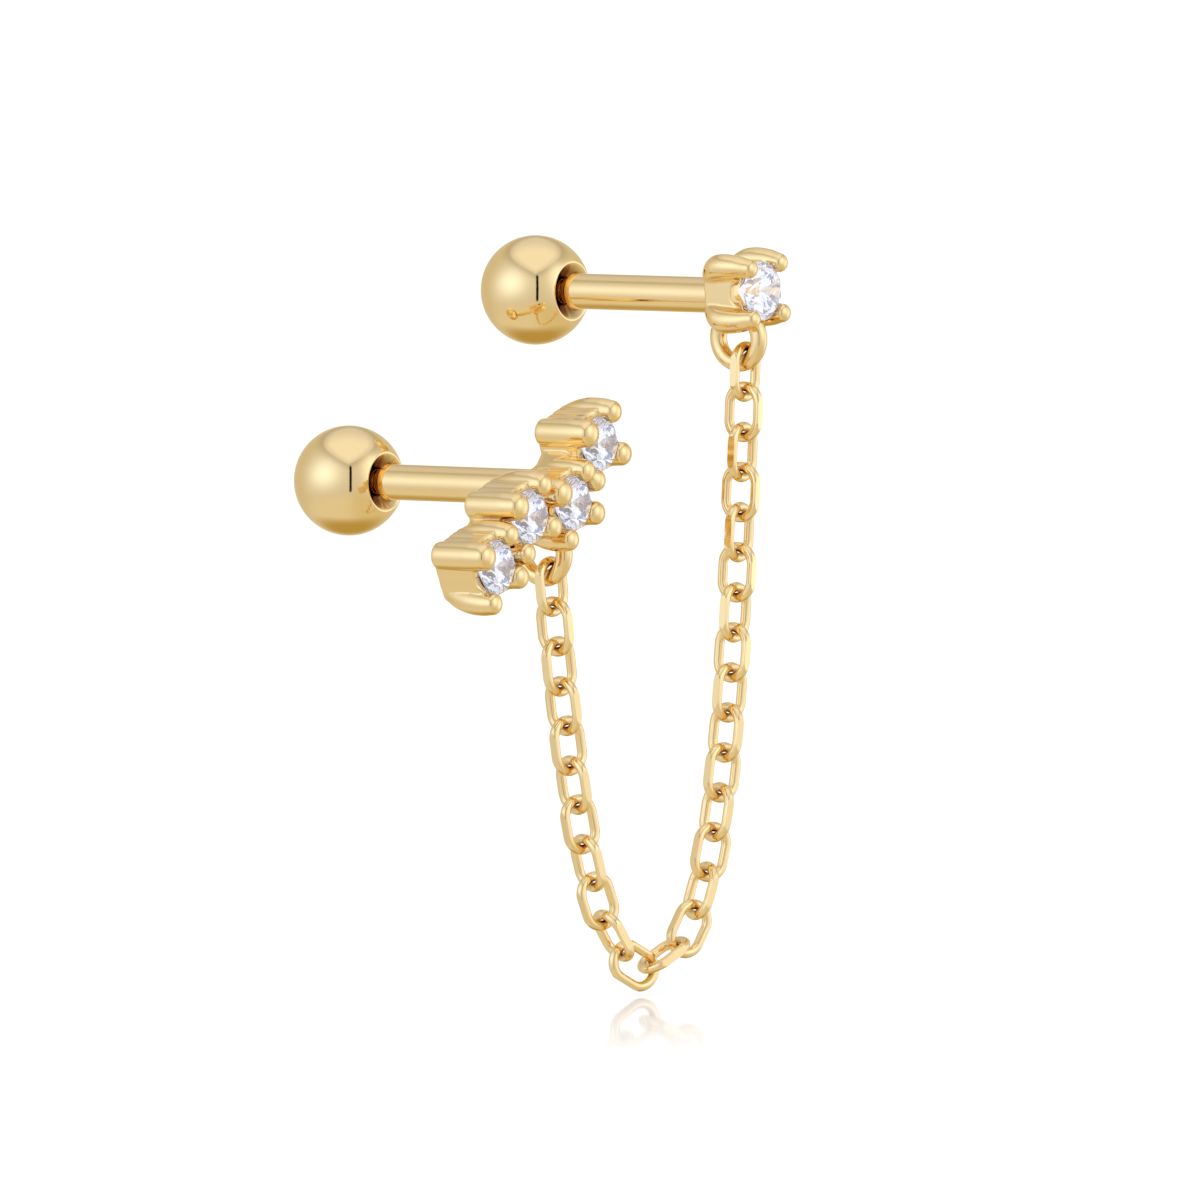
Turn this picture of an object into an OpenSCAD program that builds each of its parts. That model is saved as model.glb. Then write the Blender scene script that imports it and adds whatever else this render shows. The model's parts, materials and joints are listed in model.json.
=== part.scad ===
// Ear chain earring: an upper stud with one stone and a lower stud with a zigzag of four,
// each closed by a screw-on ball, joined by a cable chain that hangs between them.
// Millimetres, +Z up, stones face -Y. The origin is the middle of the upper post's wearing
// length, where the ear holds it.

/* [Posts and balls] */
// Diameter of each post
post_d = 1.3; // [1:0.05:1.6]
// Length of post between the back of a setting and its ball
wear_l = 6.35; // [5:0.05:10]
// Diameter of the thinner screwed end
screw_d = 0.9; // [0.7:0.05:1]
// Length of the screwed end
screw_l = 2.5; // [1:0.1:2.9]
// Diameter of each ball
ball_d = 4; // [3.2:0.1:5]
// Diameter of the countersunk mouth of a ball
mouth_d = 2.1; // [1.6:0.05:2.6]
// Depth of the mouth
mouth_h = 0.5; // [0.2:0.05:0.8]

/* [Stones] */
// Diameter of the upper stone
upper_stone_d = 2.15; // [1.8:0.05:2.5]
// Diameter of each lower stone
lower_stone_d = 1.95; // [1.7:0.05:2.1]
// Distance between neighbouring lower stones
stone_step = 2.6; // [2.5:0.01:2.75]

/* [Settings] */
// Depth of a setting from its back to the girdle of the stone
seat_h = 1.9; // [1.7:0.05:2.3]
// Depth from the back to the middle of a prong's round tip
prong_l = 2.07; // [1.95:0.01:2.5]
// Thickness of a prong at its widest
prong_d = 0.92; // [0.7:0.02:1]
// Width of the upper setting's square box
upper_box_w = 2; // [1.8:0.05:2.1]
// Width of each lower setting's square box
lower_box_w = 2.3; // [2:0.05:2.4]
// Middle of the upper setting above its post
upper_rise = 0.2; // [0:0.02:0.3]
// Depth of the upper setting's walls at the lowest point of their scoops
upper_wall_l = 1.2; // [1:0.05:1.65]
// Thickness of the upper setting's walls round the hollow under its stone
upper_wall_t = 0.25; // [0.2:0.05:0.4]
// Depth of the lower settings' walls at the lowest point of their scoops
lower_wall_l = 1.65; // [1:0.05:1.75]
// Turn of the upper setting about its post
upper_turn = 4; // [0:1:20]
// Turn of the lower settings, seen from the front
lower_turn = 22; // [10:1:30]

/* [Chain rings] */
// Thickness of the soldered ring under each setting
ring_wire = 0.62; // [0.5:0.02:0.66]
// Diameter of the ring's wire centre
ring_d = 1.8; // [1.7:0.05:2.2]
// Distance of the upper ring's centre below its post
upper_ring_drop = 1.53; // [1.4:0.01:1.9]
// Distance of the lower ring's centre below its stone
lower_ring_drop = 1.8; // [1.5:0.05:2]
// Distance of a ring's centre in front of the back of its setting
ring_front = 0.78; // [0.6:0.02:1]
// How far to the front of a ring's lowest point the chain sits, as an angle on the ring
ride = 18; // [0:1:20]

/* [Chain] */
// Outer length of a link
link_l = 2.195; // [2.1:0.005:2.4]
// Thickness of a link's wire
link_wire = 0.36; // [0.3:0.01:0.38]
// Outer width of a link over its two cut flats
link_w = 1.48; // [1.44:0.01:1.56]
// Metal cut away at each flat
flat_cut = 0.07; // [0.01:0.01:0.08]

/* [Placing] */
// Lower post to the wearer's side of the upper post
stud_across = 7.5; // [5:0.1:10]
// Lower post behind the upper post
stud_back = 2.9; // [0:0.1:5]
// Lower post below the upper post
stud_down = 6.5; // [5:0.1:10]

/* [Clearances] */
// Gap round the screwed end
screw_gap = 0.02; // [0.01:0.01:0.05]
// Gap between pieces that touch on the real earring
seat_gap = 0.03; // [0.02:0.01:0.05]

/* [Hidden] */
$fn = 64;
wire_sides = 32;
link_count = 27;

// The places that follow from the sizes above
ball_at = wear_l + ball_d / 2;
mouth_at = ball_at - sqrt(pow(ball_d / 2, 2) - pow(mouth_d / 2, 2));
front_at = -wear_l / 2;

// Lower stones: heading of each step from one stone to the next, from the top stone down
ZIGZAG = [231, 187, 219.5];
// How far the post stands across and above the second stone's middle, as shares of the stone's
// diameter
POST_SHARE = [0.05, 0.26];
// How far the ring hangs to the side of the second stone's middle, as a share of the same
side_share = -0.2;

// Prongs of the upper setting: turn about the stone, place of the tip out from the stone's
// middle as a share of the stone's radius
UPPER_TIPS = [
    [45, 1.2],
    [135, 1.2],
    [225, 1.2],
    [315, 1.2]
];
// Prongs of a lower setting: the same two, place of the foot as a share of the tip's, and
// thickness as a share of a prong's
LOWER_TIPS = [
    [45, 1.25, 0.84, 1],
    [135, 1.12, 1, 1.15],
    [225, 1.42, 0.72, 1],
    [315, 1.12, 1, 1]
];

// An upper prong's sections: share of its depth, place out as a share of its tip's, thickness
// as a share of the prong's
UPPER_PRONG = [
    [0, 0.77, 0.74],
    [0.12, 0.91, 0.93],
    [0.3, 1.03, 1.04],
    [0.5, 1.07, 1.02],
    [0.75, 1.06, 0.92],
    [1, 1, 0.74]
];
// A lower prong's sections: share of its depth, thickness as a share of its own
LOWER_PRONG = [
    [0, 0.88],
    [0.06, 0.97],
    [0.7, 1],
    [1, 0.86]
];
prong_sides = 10;
TIP_TURNS = [30, 60, 80];
// Share of the stone's radius that the scoop between two prongs is cut to
scoop_share = 0.52;
// The bar between two lower settings: share of the stone's diameter for its width, and share
// of a wall's depth for its own
tie_share = 0.8;
tie_depth_share = 0.85;
// Share of a box's width that its corners are rounded off at
round_share = 1.28;
// Share of a setting's depth that its post is sunk into it
sink_share = 0.25;

// A round brilliant's heights and widths as shares of its diameter
table_share = 0.62;
crown_share = 0.14;
girdle_share = 0.03;
pavilion_share = 0.5;
star_share = 0.8;
lower_half_share = 0.22;

// The chain's turn about its own line: share of the way from the upper ring, degrees
TWIST = [
    [0, -20],
    [0.2, -23],
    [0.35, -12],
    [0.5, -2],
    [0.75, 5],
    [1, 18]
];

GOLD = "gold";
CLEAR = "aliceblue";

function heading(a) = [cos(a), sin(a)];
// The sum of a list's items up to item n
function total(v, n) = n < 0 ? v[0] * 0 : v[n] + total(v, n - 1);

// Middles of the lower stones, across and up from the lower post
function zigzag_at(i) = i == 0 ? [0, 0] : zigzag_at(i - 1) + stone_step * heading(ZIGZAG[i - 1]);
LOWER_STONES = [for (i = [0:len(ZIGZAG)]) zigzag_at(i) - zigzag_at(1) - POST_SHARE * lower_stone_d];
lower_ring_at = LOWER_STONES[1] + [side_share * lower_stone_d, -lower_ring_drop];
upper_ring_at = [0, -upper_ring_drop];
LOWER_POST = [-stud_across, stud_back, -stud_down];

// The points of the two rings' wire centres that carry the chain's ends
function ring_foot(ring_at) = [
    ring_at[0],
    front_at - ring_front - ring_d / 2 * sin(ride),
    ring_at[1] - ring_d / 2 * cos(ride)
];
chain_start = ring_foot(upper_ring_at);
chain_end = LOWER_POST + ring_foot(lower_ring_at);
chain_way = chain_end - chain_start;
chain_span = norm([chain_way[0], chain_way[1]]);
chain_turn = atan2(chain_way[1], chain_way[0]);

// A link is a wire oval: two half rings joined by two straights
link_bend = (link_w / 2) + flat_cut - link_wire / 2;
link_straight = link_l - link_wire - 2 * link_bend;

// A ring curves up into the bend that it holds, which takes a wider gap
end_gap = 2 * seat_gap;

// Steps along the chain: even ones go from a wire to the middle of the bend that holds it,
// odd ones along a link. Odd links turn about their bends and even links about their wires.
hold_link = link_bend - link_wire - seat_gap;
hold_ring = link_bend - (link_wire / 2 + ring_wire / 2 + end_gap) / cos(ride);
last_step = 2 * link_count;
function step_length(q) =
    q % 2 == 0 ? ((q == 0 || q == last_step) ? hold_ring : hold_link)
    : (q % 4 == 1 ? link_straight : link_straight + 2 * link_bend);

// A hanging chain of equal links: the tangent of each step's slope grows evenly along it
function slope(q, pull, low) = atan(pull * (q / 2 - low));
function run(pull, low) =
    [for (q = [0:last_step]) 1] * [for (q = [0:last_step]) step_length(q) * cos(slope(q, pull, low))];
function rise(pull, low) =
    [for (q = [0:last_step]) 1] * [for (q = [0:last_step]) step_length(q) * sin(slope(q, pull, low))];

// Halving finds the lowest place for a pull, and then the pull that gives the right span
function find_low(pull, a, b, n) =
    let (m = (a + b) / 2)
    n == 0 ? m
    : rise(pull, m) > chain_way[2] ? find_low(pull, m, b, n - 1)
    : find_low(pull, a, m, n - 1);
function find_pull(a, b, n) =
    let (m = (a + b) / 2)
    n == 0 ? m
    : run(m, find_low(m, 0, link_count, 26)) > chain_span ? find_pull(m, b, n - 1)
    : find_pull(a, m, n - 1);
pull = find_pull(0.05, 8, 26);
low = find_low(pull, 0, link_count, 26);

// Where step q starts, along the chain's plane and up
STEPS = [for (q = [0:last_step])
    step_length(q) * [cos(slope(q, pull, low)), sin(slope(q, pull, low))]];
function step_start(q) = total(STEPS, q - 1);

// Draws its children built along +Z so that they face -Y, as the stones do
module facing_front() {
    rotate([90, 0, 0])
        children();
}

module at_lower_post() {
    translate(LOWER_POST)
        children();
}

// A cut stone with its girdle's top at z = 0 and its table up
module brilliant(d) {
    crown_h = crown_share * d;
    girdle_h = girdle_share * d;
    pavilion_h = pavilion_share * d;
    table_r = table_share * d / 2;
    star_r = star_share * d / 2;
    lower_r = lower_half_share * d / 2;
    // Heights that keep the kites flat
    star_h = crown_h * (d / 2 - star_r * cos(22.5)) / (d / 2 - table_r);
    lower_h = pavilion_h * (1 - lower_r * cos(22.5) / (d / 2));
    points = concat(
        [for (i = [0:7]) [table_r * cos(45 * i), table_r * sin(45 * i), crown_h]],
        [for (i = [0:7]) [star_r * cos(45 * i + 22.5), star_r * sin(45 * i + 22.5), star_h]],
        [for (j = [0:15]) [d / 2 * cos(22.5 * j), d / 2 * sin(22.5 * j), 0]],
        [for (j = [0:15]) [d / 2 * cos(22.5 * j), d / 2 * sin(22.5 * j), -girdle_h]],
        [for (i = [0:7]) [lower_r * cos(45 * i + 22.5), lower_r * sin(45 * i + 22.5), -girdle_h - lower_h]],
        [[0, 0, -girdle_h - pavilion_h]]
    );
    faces = concat(
        [[for (i = [7:-1:0]) i]],
        [for (i = [0:7]) [i, (i + 1) % 8, 8 + i]],
        [for (i = [0:7]) [i, 8 + i, 16 + 2 * i, 8 + (i + 7) % 8]],
        [for (i = [0:7]) [8 + i, 16 + 2 * i + 1, 16 + 2 * i]],
        [for (i = [0:7]) [8 + i, 16 + (2 * i + 2) % 16, 16 + 2 * i + 1]],
        [for (j = [0:15]) [16 + j, 16 + (j + 1) % 16, 32 + (j + 1) % 16, 32 + j]],
        [for (i = [0:7]) [48 + i, 32 + 2 * i, 32 + 2 * i + 1]],
        [for (i = [0:7]) [48 + i, 32 + 2 * i + 1, 32 + (2 * i + 2) % 16]],
        [for (i = [0:7]) [56, 48 + (i + 7) % 8, 32 + 2 * i, 48 + i]]
    );
    color(CLEAR)
        polyhedron(points, faces);
}

// Depth of the room under a girdle
function room_depth(d) = (girdle_share + pavilion_share) * d + 2 * seat_gap;

// The room a stone of diameter d needs in its setting, a seat gap larger all round
module stone_room(d) {
    r = d / 2 + seat_gap;
    crown_h = crown_share * d;
    table_r = table_share * d / 2 + seat_gap;
    deep = room_depth(d);
    rotate_extrude()
        polygon([
            [0, -deep],
            [r, -girdle_share * d],
            [r, seat_gap],
            [table_r, crown_h + seat_gap],
            [table_r, 2 * d],
            [0, 2 * d]
        ]);
}

// One prong, its tip tip_out from the stone's middle: a lofted stack of rings that ends round
module prong(tip_out, sections) {
    last = len(sections) - 1;
    tip_r = sections[last][2] * prong_d / 2;
    RINGS = concat(
        [for (s = sections) [s[0] * prong_l, s[1] * tip_out, s[2] * prong_d / 2]],
        [for (a = TIP_TURNS) [prong_l + tip_r * sin(a), tip_out, tip_r * cos(a)]]
    );
    top = len(RINGS) - 1;
    points = [for (g = RINGS, k = [0:prong_sides - 1])
        [g[1] + g[2] * cos(360 * k / prong_sides), g[2] * sin(360 * k / prong_sides), g[0]]];
    faces = concat(
        [[for (k = [0:prong_sides - 1]) k]],
        [for (n = [0:top - 1], k = [0:prong_sides - 1])
            let (a = n * prong_sides + k, b = n * prong_sides + (k + 1) % prong_sides)
            [a, a + prong_sides, b]],
        [for (n = [0:top - 1], k = [0:prong_sides - 1])
            let (a = n * prong_sides + k, b = n * prong_sides + (k + 1) % prong_sides)
            [b, a + prong_sides, b + prong_sides]],
        [[for (k = [prong_sides - 1:-1:0]) top * prong_sides + k]]
    );
    polyhedron(points, faces);
}

// One straight prong of thickness thick that leans from its foot to its tip, both so far out
// from the stone's middle, turned from its table with a round tip
module straight_prong(tip_out, foot_out, thick) {
    last = len(LOWER_PRONG) - 1;
    foot_r = LOWER_PRONG[0][1] * thick / 2;
    tip_r = LOWER_PRONG[last][1] * thick / 2;
    lean = atan((tip_out - foot_out) / prong_l);
    drop = thick * sin(lean);
    translate([foot_out, 0, 0])
        rotate([0, lean, 0])
            rotate_extrude()
                polygon(concat(
                    [[0, -drop], [foot_r, -drop]],
                    [for (n = [1:last]) [LOWER_PRONG[n][1] * thick / 2, LOWER_PRONG[n][0] * prong_l]],
                    [for (a = TIP_TURNS) [tip_r * cos(a), prong_l + tip_r * sin(a)]],
                    [[0, prong_l + tip_r]]
                ));
}

// A setting: a square box that is scooped out between its prongs, the children, and all cut
// level at the back
module setting(stone_d, box_w, wall_l) {
    difference() {
        union() {
            difference() {
                intersection() {
                    translate([-box_w / 2, -box_w / 2, 0])
                        cube([box_w, box_w, seat_h]);
                    cylinder(h = seat_h, d = round_share * box_w);
                }
                scoops(stone_d, wall_l);
            }
            children();
        }
        translate([-2 * box_w, -2 * box_w, -box_w])
            cube([4 * box_w, 4 * box_w, box_w]);
    }
}

// The scoops between prongs, which show the side of the stone
module scoops(stone_d, wall_l) {
    scoop_r = scoop_share * stone_d / 2;
    for (a = [0, 90])
        rotate([0, 0, a])
            translate([0, 0, wall_l + scoop_r])
                rotate([0, 90, 0])
                    cylinder(h = 4 * stone_d, r = scoop_r, center = true);
}

// The soldered ring, its hole facing sideways
module chain_ring(ring_at) {
    translate([ring_at[0], -ring_front, ring_at[1]])
        rotate([0, 90, 0])
            rotate_extrude()
                translate([ring_d / 2, 0])
                    circle(d = ring_wire, $fn = wire_sides);
}

// A post that steps down to its screw at the mouth of its ball
module post() {
    sink = sink_share * seat_h;
    rotate([-90, 0, 0]) {
        translate([0, 0, -sink])
            cylinder(h = mouth_at - seat_gap + sink, d = post_d);
        cylinder(h = mouth_at + screw_l, d = screw_d);
    }
}

// A ball with a countersunk mouth and a blind hole for the screwed end
module ball() {
    hole_d = screw_d + 2 * screw_gap;
    color(GOLD)
        translate([0, front_at, 0])
            rotate([-90, 0, 0])
                difference() {
                    translate([0, 0, ball_at])
                        sphere(d = ball_d);
                    translate([0, 0, mouth_at - mouth_h])
                        cylinder(h = 2 * mouth_h, r1 = mouth_d - hole_d / 2, r2 = hole_d / 2);
                    cylinder(h = mouth_at + screw_l + seat_gap, d = hole_d);
                }
}

// The square setting of the upper stone, whose prongs bow outwards
module upper_setting() {
    setting(upper_stone_d, upper_box_w, upper_wall_l)
        for (tip = UPPER_TIPS)
            rotate([0, 0, tip[0]])
                prong(tip[1] * upper_stone_d / 2, UPPER_PRONG);
}

// The square setting of one lower stone, whose straight prongs may lean
module lower_setting() {
    setting(lower_stone_d, lower_box_w, lower_wall_l)
        for (tip = LOWER_TIPS)
            rotate([0, 0, tip[0]])
                straight_prong(
                    tip[1] * lower_stone_d / 2,
                    tip[1] * tip[2] * lower_stone_d / 2,
                    tip[3] * prong_d
                );
}

// The open space inside the upper setting's walls, under its stone
module upper_hollow() {
    deep = room_depth(upper_stone_d);
    translate([0, 0, -deep])
        cylinder(h = deep, d = upper_box_w - 2 * upper_wall_t);
}

// The upper casting: setting, soldered ring and post, hollowed for its stone
module upper_stud() {
    color(GOLD)
        translate([0, front_at, 0])
            difference() {
                union() {
                    facing_front()
                        translate([0, upper_rise, 0])
                            rotate([0, 0, upper_turn])
                                upper_setting();
                    chain_ring(upper_ring_at);
                    post();
                }
                facing_front()
                    translate([0, upper_rise, seat_h]) {
                        stone_room(upper_stone_d);
                        upper_hollow();
                    }
            }
}

// The stone in the upper setting
module upper_stone() {
    translate([0, front_at, 0])
        facing_front()
            translate([0, upper_rise, seat_h])
                rotate([0, 0, upper_turn])
                    brilliant(upper_stone_d);
}

// A bar that ties two neighbouring lower settings together at the back
module tie(i) {
    tie_w = tie_share * lower_stone_d;
    tie_l = tie_depth_share * lower_wall_l;
    translate([LOWER_STONES[i][0], LOWER_STONES[i][1], 0])
        rotate([0, 0, ZIGZAG[i]])
            translate([0, -tie_w / 2, 0])
                cube([stone_step, tie_w, tie_l]);
}

// The lower casting: four settings tied in a zigzag, soldered ring and post
module lower_stud() {
    color(GOLD)
        at_lower_post()
            translate([0, front_at, 0])
                difference() {
                    union() {
                        facing_front() {
                            for (p = LOWER_STONES)
                                translate([p[0], p[1], 0])
                                    rotate([0, 0, lower_turn])
                                        lower_setting();
                            for (i = [0:len(ZIGZAG) - 1])
                                tie(i);
                        }
                        chain_ring(lower_ring_at);
                        post();
                    }
                    facing_front()
                        for (p = LOWER_STONES)
                            translate([p[0], p[1], seat_h])
                                stone_room(lower_stone_d);
                }
}

// Stone i of the lower stud, counted from the top one
module lower_stone(i) {
    at_lower_post()
        translate([0, front_at, 0])
            facing_front()
                translate([LOWER_STONES[i][0], LOWER_STONES[i][1], seat_h])
                    rotate([0, 0, lower_turn])
                        brilliant(lower_stone_d);
}

// One link along X, its oval in the XY plane, with a flat cut along each side
module link_shape() {
    intersection() {
        union() {
            for (side = [-1, 1]) {
                translate([-link_straight / 2, side * link_bend, 0])
                    rotate([0, 90, 0])
                        cylinder(h = link_straight, d = link_wire, $fn = wire_sides);
                translate([side * link_straight / 2, 0, 0])
                    rotate([0, 0, -90 * side])
                        rotate_extrude(angle = 180)
                            translate([link_bend, 0])
                                circle(d = link_wire, $fn = wire_sides);
            }
        }
        cube([2 * link_l, link_w, 2 * link_wire], center = true);
    }
}

// Link n of the chain, counted from the upper ring
module chain_link(n) {
    q = 2 * n - 1;
    middle = (step_start(q) + step_start(q + 1)) / 2;
    turn = (n % 2 == 0 ? 0 : 90) + lookup(n / link_count, TWIST);
    color(GOLD)
        translate(chain_start)
            rotate([0, 0, chain_turn])
                translate([middle[0], 0, middle[1]])
                    rotate([0, -slope(q, pull, low), 0])
                        rotate([turn, 0, 0])
                            link_shape();
}

upper_stud();
ball();  // upper_ball
upper_stone();
lower_stud();
at_lower_post() ball();  // lower_ball
lower_stone(0);  // lower_stone_1
lower_stone(1);  // lower_stone_2
lower_stone(2);  // lower_stone_3
lower_stone(3);  // lower_stone_4
chain_link(1);  // link_01
chain_link(2);  // link_02
chain_link(3);  // link_03
chain_link(4);  // link_04
chain_link(5);  // link_05
chain_link(6);  // link_06
chain_link(7);  // link_07
chain_link(8);  // link_08
chain_link(9);  // link_09
chain_link(10);  // link_10
chain_link(11);  // link_11
chain_link(12);  // link_12
chain_link(13);  // link_13
chain_link(14);  // link_14
chain_link(15);  // link_15
chain_link(16);  // link_16
chain_link(17);  // link_17
chain_link(18);  // link_18
chain_link(19);  // link_19
chain_link(20);  // link_20
chain_link(21);  // link_21
chain_link(22);  // link_22
chain_link(23);  // link_23
chain_link(24);  // link_24
chain_link(25);  // link_25
chain_link(26);  // link_26
chain_link(27);  // link_27
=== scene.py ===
import json
import math
import bpy
import numpy as np
from mathutils import Matrix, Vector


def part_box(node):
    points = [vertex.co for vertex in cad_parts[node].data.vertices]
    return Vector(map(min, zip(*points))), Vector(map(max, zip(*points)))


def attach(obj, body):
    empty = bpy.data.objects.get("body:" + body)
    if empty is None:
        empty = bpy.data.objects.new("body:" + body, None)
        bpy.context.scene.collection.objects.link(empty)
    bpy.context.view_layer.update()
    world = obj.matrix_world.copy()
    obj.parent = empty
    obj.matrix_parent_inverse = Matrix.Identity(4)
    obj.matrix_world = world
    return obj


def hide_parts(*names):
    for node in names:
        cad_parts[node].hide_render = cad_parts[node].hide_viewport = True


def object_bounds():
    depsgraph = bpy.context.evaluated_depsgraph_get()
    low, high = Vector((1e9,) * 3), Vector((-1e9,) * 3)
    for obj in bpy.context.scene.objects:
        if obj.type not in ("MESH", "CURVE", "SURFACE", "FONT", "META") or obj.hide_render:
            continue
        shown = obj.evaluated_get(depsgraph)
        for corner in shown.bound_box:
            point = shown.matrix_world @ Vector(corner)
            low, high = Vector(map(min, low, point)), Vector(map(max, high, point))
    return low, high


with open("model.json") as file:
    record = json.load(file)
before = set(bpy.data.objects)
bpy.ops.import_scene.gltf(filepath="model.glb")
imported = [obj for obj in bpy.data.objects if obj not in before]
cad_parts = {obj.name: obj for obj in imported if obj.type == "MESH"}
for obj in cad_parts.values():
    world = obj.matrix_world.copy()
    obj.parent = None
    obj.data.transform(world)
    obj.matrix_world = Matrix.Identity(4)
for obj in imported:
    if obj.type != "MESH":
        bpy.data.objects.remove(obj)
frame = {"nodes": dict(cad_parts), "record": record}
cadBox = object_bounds()
mounts = {m["name"]: m for m in frame["record"]["mounts"]}
scene = bpy.context.scene
millimetre = 0.001
print("frame loaded")

# Places are worked in millimetres round the posts: x across, y along the post to its ball, z up
postMounts = {"upper": mounts["upper_piercing"], "lower": mounts["lower_post"]}
posts = {name: np.array(mount["pos_m"]) / millimetre for name, mount in postMounts.items()}
postRadius = mounts["lower_post"]["dims"]["r_mm"]
postWall = mounts["lower_post"]["dims"]["length_mm"]
wearLength = 6.35            # bar between the back of a setting and its ball
girdleDepth = 1.9            # from the back of a setting to the girdle of its stone
axisRadius = 0.01            # where a turned profile ends beside its axis, before its cap


def boxOf(node):
    # low and high corner of a solid
    low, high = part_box(node)
    return np.array(low) / millimetre, np.array(high) / millimetre


# y of the plane where each setting ends and its post starts
backOfSettings = {name: place[1] - wearLength / 2 for name, place in posts.items()}


# Meshes from arrays

def gridFaces(rows, columns, first, flip):
    # quads between neighbours on a grid that closes on itself along its columns
    i, k = np.meshgrid(np.arange(rows - 1), np.arange(columns), indexing="ij")
    a, b = i * columns + k, i * columns + (k + 1) % columns
    quads = np.stack([a, b, b + columns, a + columns], -1).reshape(-1, 4) + first
    return quads[:, ::-1] if flip else quads


class Shell:
    # points and faces that pieces are gathered in before they become one mesh
    def __init__(self):
        self.points, self.faces, self.count = [], [], 0

    def add(self, grid, flip=False):
        # a grid of rows by columns of points, closed round its columns and capped at both ends
        rows, columns = grid.shape[:2]
        ends = np.stack([grid[0].mean(0), grid[-1].mean(0)])
        self.points.append(np.concatenate([grid.reshape(-1, 3), ends]))
        quads = gridFaces(rows, columns, self.count, flip).tolist()
        k = np.arange(columns)
        low, high = self.count + rows * columns, self.count + rows * columns + 1
        top = self.count + (rows - 1) * columns
        start = np.stack([np.full(columns, low), self.count + (k + 1) % columns, self.count + k], -1)
        finish = np.stack([np.full(columns, high), top + k, top + (k + 1) % columns], -1)
        caps = np.concatenate([start, finish])
        self.faces += quads + (caps[:, ::-1] if flip else caps).tolist()
        self.count += rows * columns + 2
        return self

    def addMesh(self, points, faces):
        # a mesh that is closed already
        self.points.append(points)
        self.faces += [[v + self.count for v in f] for f in faces]
        self.count += len(points)
        return self

    def ring(self, grid):
        # a grid closed both ways
        rows, columns = grid.shape[:2]
        i, k = np.meshgrid(np.arange(rows), np.arange(columns), indexing="ij")
        a, b = i * columns + k, i * columns + (k + 1) % columns
        c, d = ((i + 1) % rows) * columns + (k + 1) % columns, ((i + 1) % rows) * columns + k
        self.points.append(grid.reshape(-1, 3))
        self.faces += (np.stack([a, b, c, d], -1).reshape(-1, 4) + self.count).tolist()
        self.count += rows * columns
        return self

    def mesh(self, name, scale=millimetre):
        data = bpy.data.meshes.new(name)
        data.from_pydata(np.concatenate(self.points) * scale, [], self.faces)
        data.validate()
        return data


def placed(data, name, body, material, sharpAngle, nodes):
    # a smooth piece, creased where faces meet at more than the sharp angle, in place of its solids
    piece = bpy.data.objects.new(name, data)
    scene.collection.objects.link(piece)
    data.materials.clear()
    data.materials.append(material)
    data.polygons.foreach_set("use_smooth", np.ones(len(data.polygons), bool))
    data.set_sharp_from_angle(angle=math.radians(sharpAngle))
    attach(piece, body)
    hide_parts(*nodes)


def smoothThrough(places, values, at):
    # a cubic curve through a table's values that never overshoots them: the slope at a row is the
    # harmonic mean of the slopes on both sides, and level at a peak
    places, values = np.asarray(places, float), np.asarray(values, float)
    rates = np.diff(values) / np.diff(places)
    before, after = rates[:-1], rates[1:]
    same = before * after > 0
    inner = np.where(same, 2 * before * after / np.where(same, before + after, 1), 0)
    slopes = np.concatenate([rates[:1], inner, rates[-1:]])
    i = np.clip(np.searchsorted(places, at, side="right") - 1, 0, len(places) - 2)
    step = places[i + 1] - places[i]
    t = (at - places[i]) / step
    return ((1 + 2 * t) * (1 - t) ** 2 * values[i] + t * (1 - t) ** 2 * step * slopes[i]
            + t * t * (3 - 2 * t) * values[i + 1] + t * t * (t - 1) * step * slopes[i + 1])


def turned(profile, steps, middle):
    # a profile of radius and y, carried round a line along y through the middle point
    a = np.linspace(0, 2 * np.pi, steps, endpoint=False)
    r, y = profile[:, 0][:, None], profile[:, 1][:, None]
    return np.stack([middle[0] + r * np.cos(a), middle[1] + y + 0 * a, middle[2] + r * np.sin(a)], -1)


def arc(centre, radius, start, end, steps):
    # points round a centre from one angle to another, in degrees
    a = np.radians(np.linspace(start, end, steps))
    return np.stack([centre[0] + radius * np.cos(a), centre[1] + radius * np.sin(a)], -1)


# Shader nodes as expressions

class Value:
    # a socket whose operators add Math nodes
    def __init__(self, tree, socket):
        self.tree, self.socket = tree, socket

    def worked(self, kind, *items):
        node = self.tree.nodes.new("ShaderNodeMath")
        node.operation = kind
        for k, item in enumerate(items):
            if isinstance(item, Value):
                self.tree.links.new(item.socket, node.inputs[k])
            else:
                node.inputs[k].default_value = item
        return Value(self.tree, node.outputs[0])

    def __add__(self, other):
        return self.worked("ADD", self, other)

    def __radd__(self, other):
        return self.worked("ADD", other, self)

    def __sub__(self, other):
        return self.worked("SUBTRACT", self, other)

    def __rsub__(self, other):
        return self.worked("SUBTRACT", other, self)

    def __mul__(self, other):
        return self.worked("MULTIPLY", self, other)

    def __rmul__(self, other):
        return self.worked("MULTIPLY", other, self)

    def __truediv__(self, other):
        return self.worked("DIVIDE", self, other)

    def __pow__(self, other):
        return self.worked("POWER", self, other)

    def __abs__(self):
        return self.worked("ABSOLUTE", self)


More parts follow.
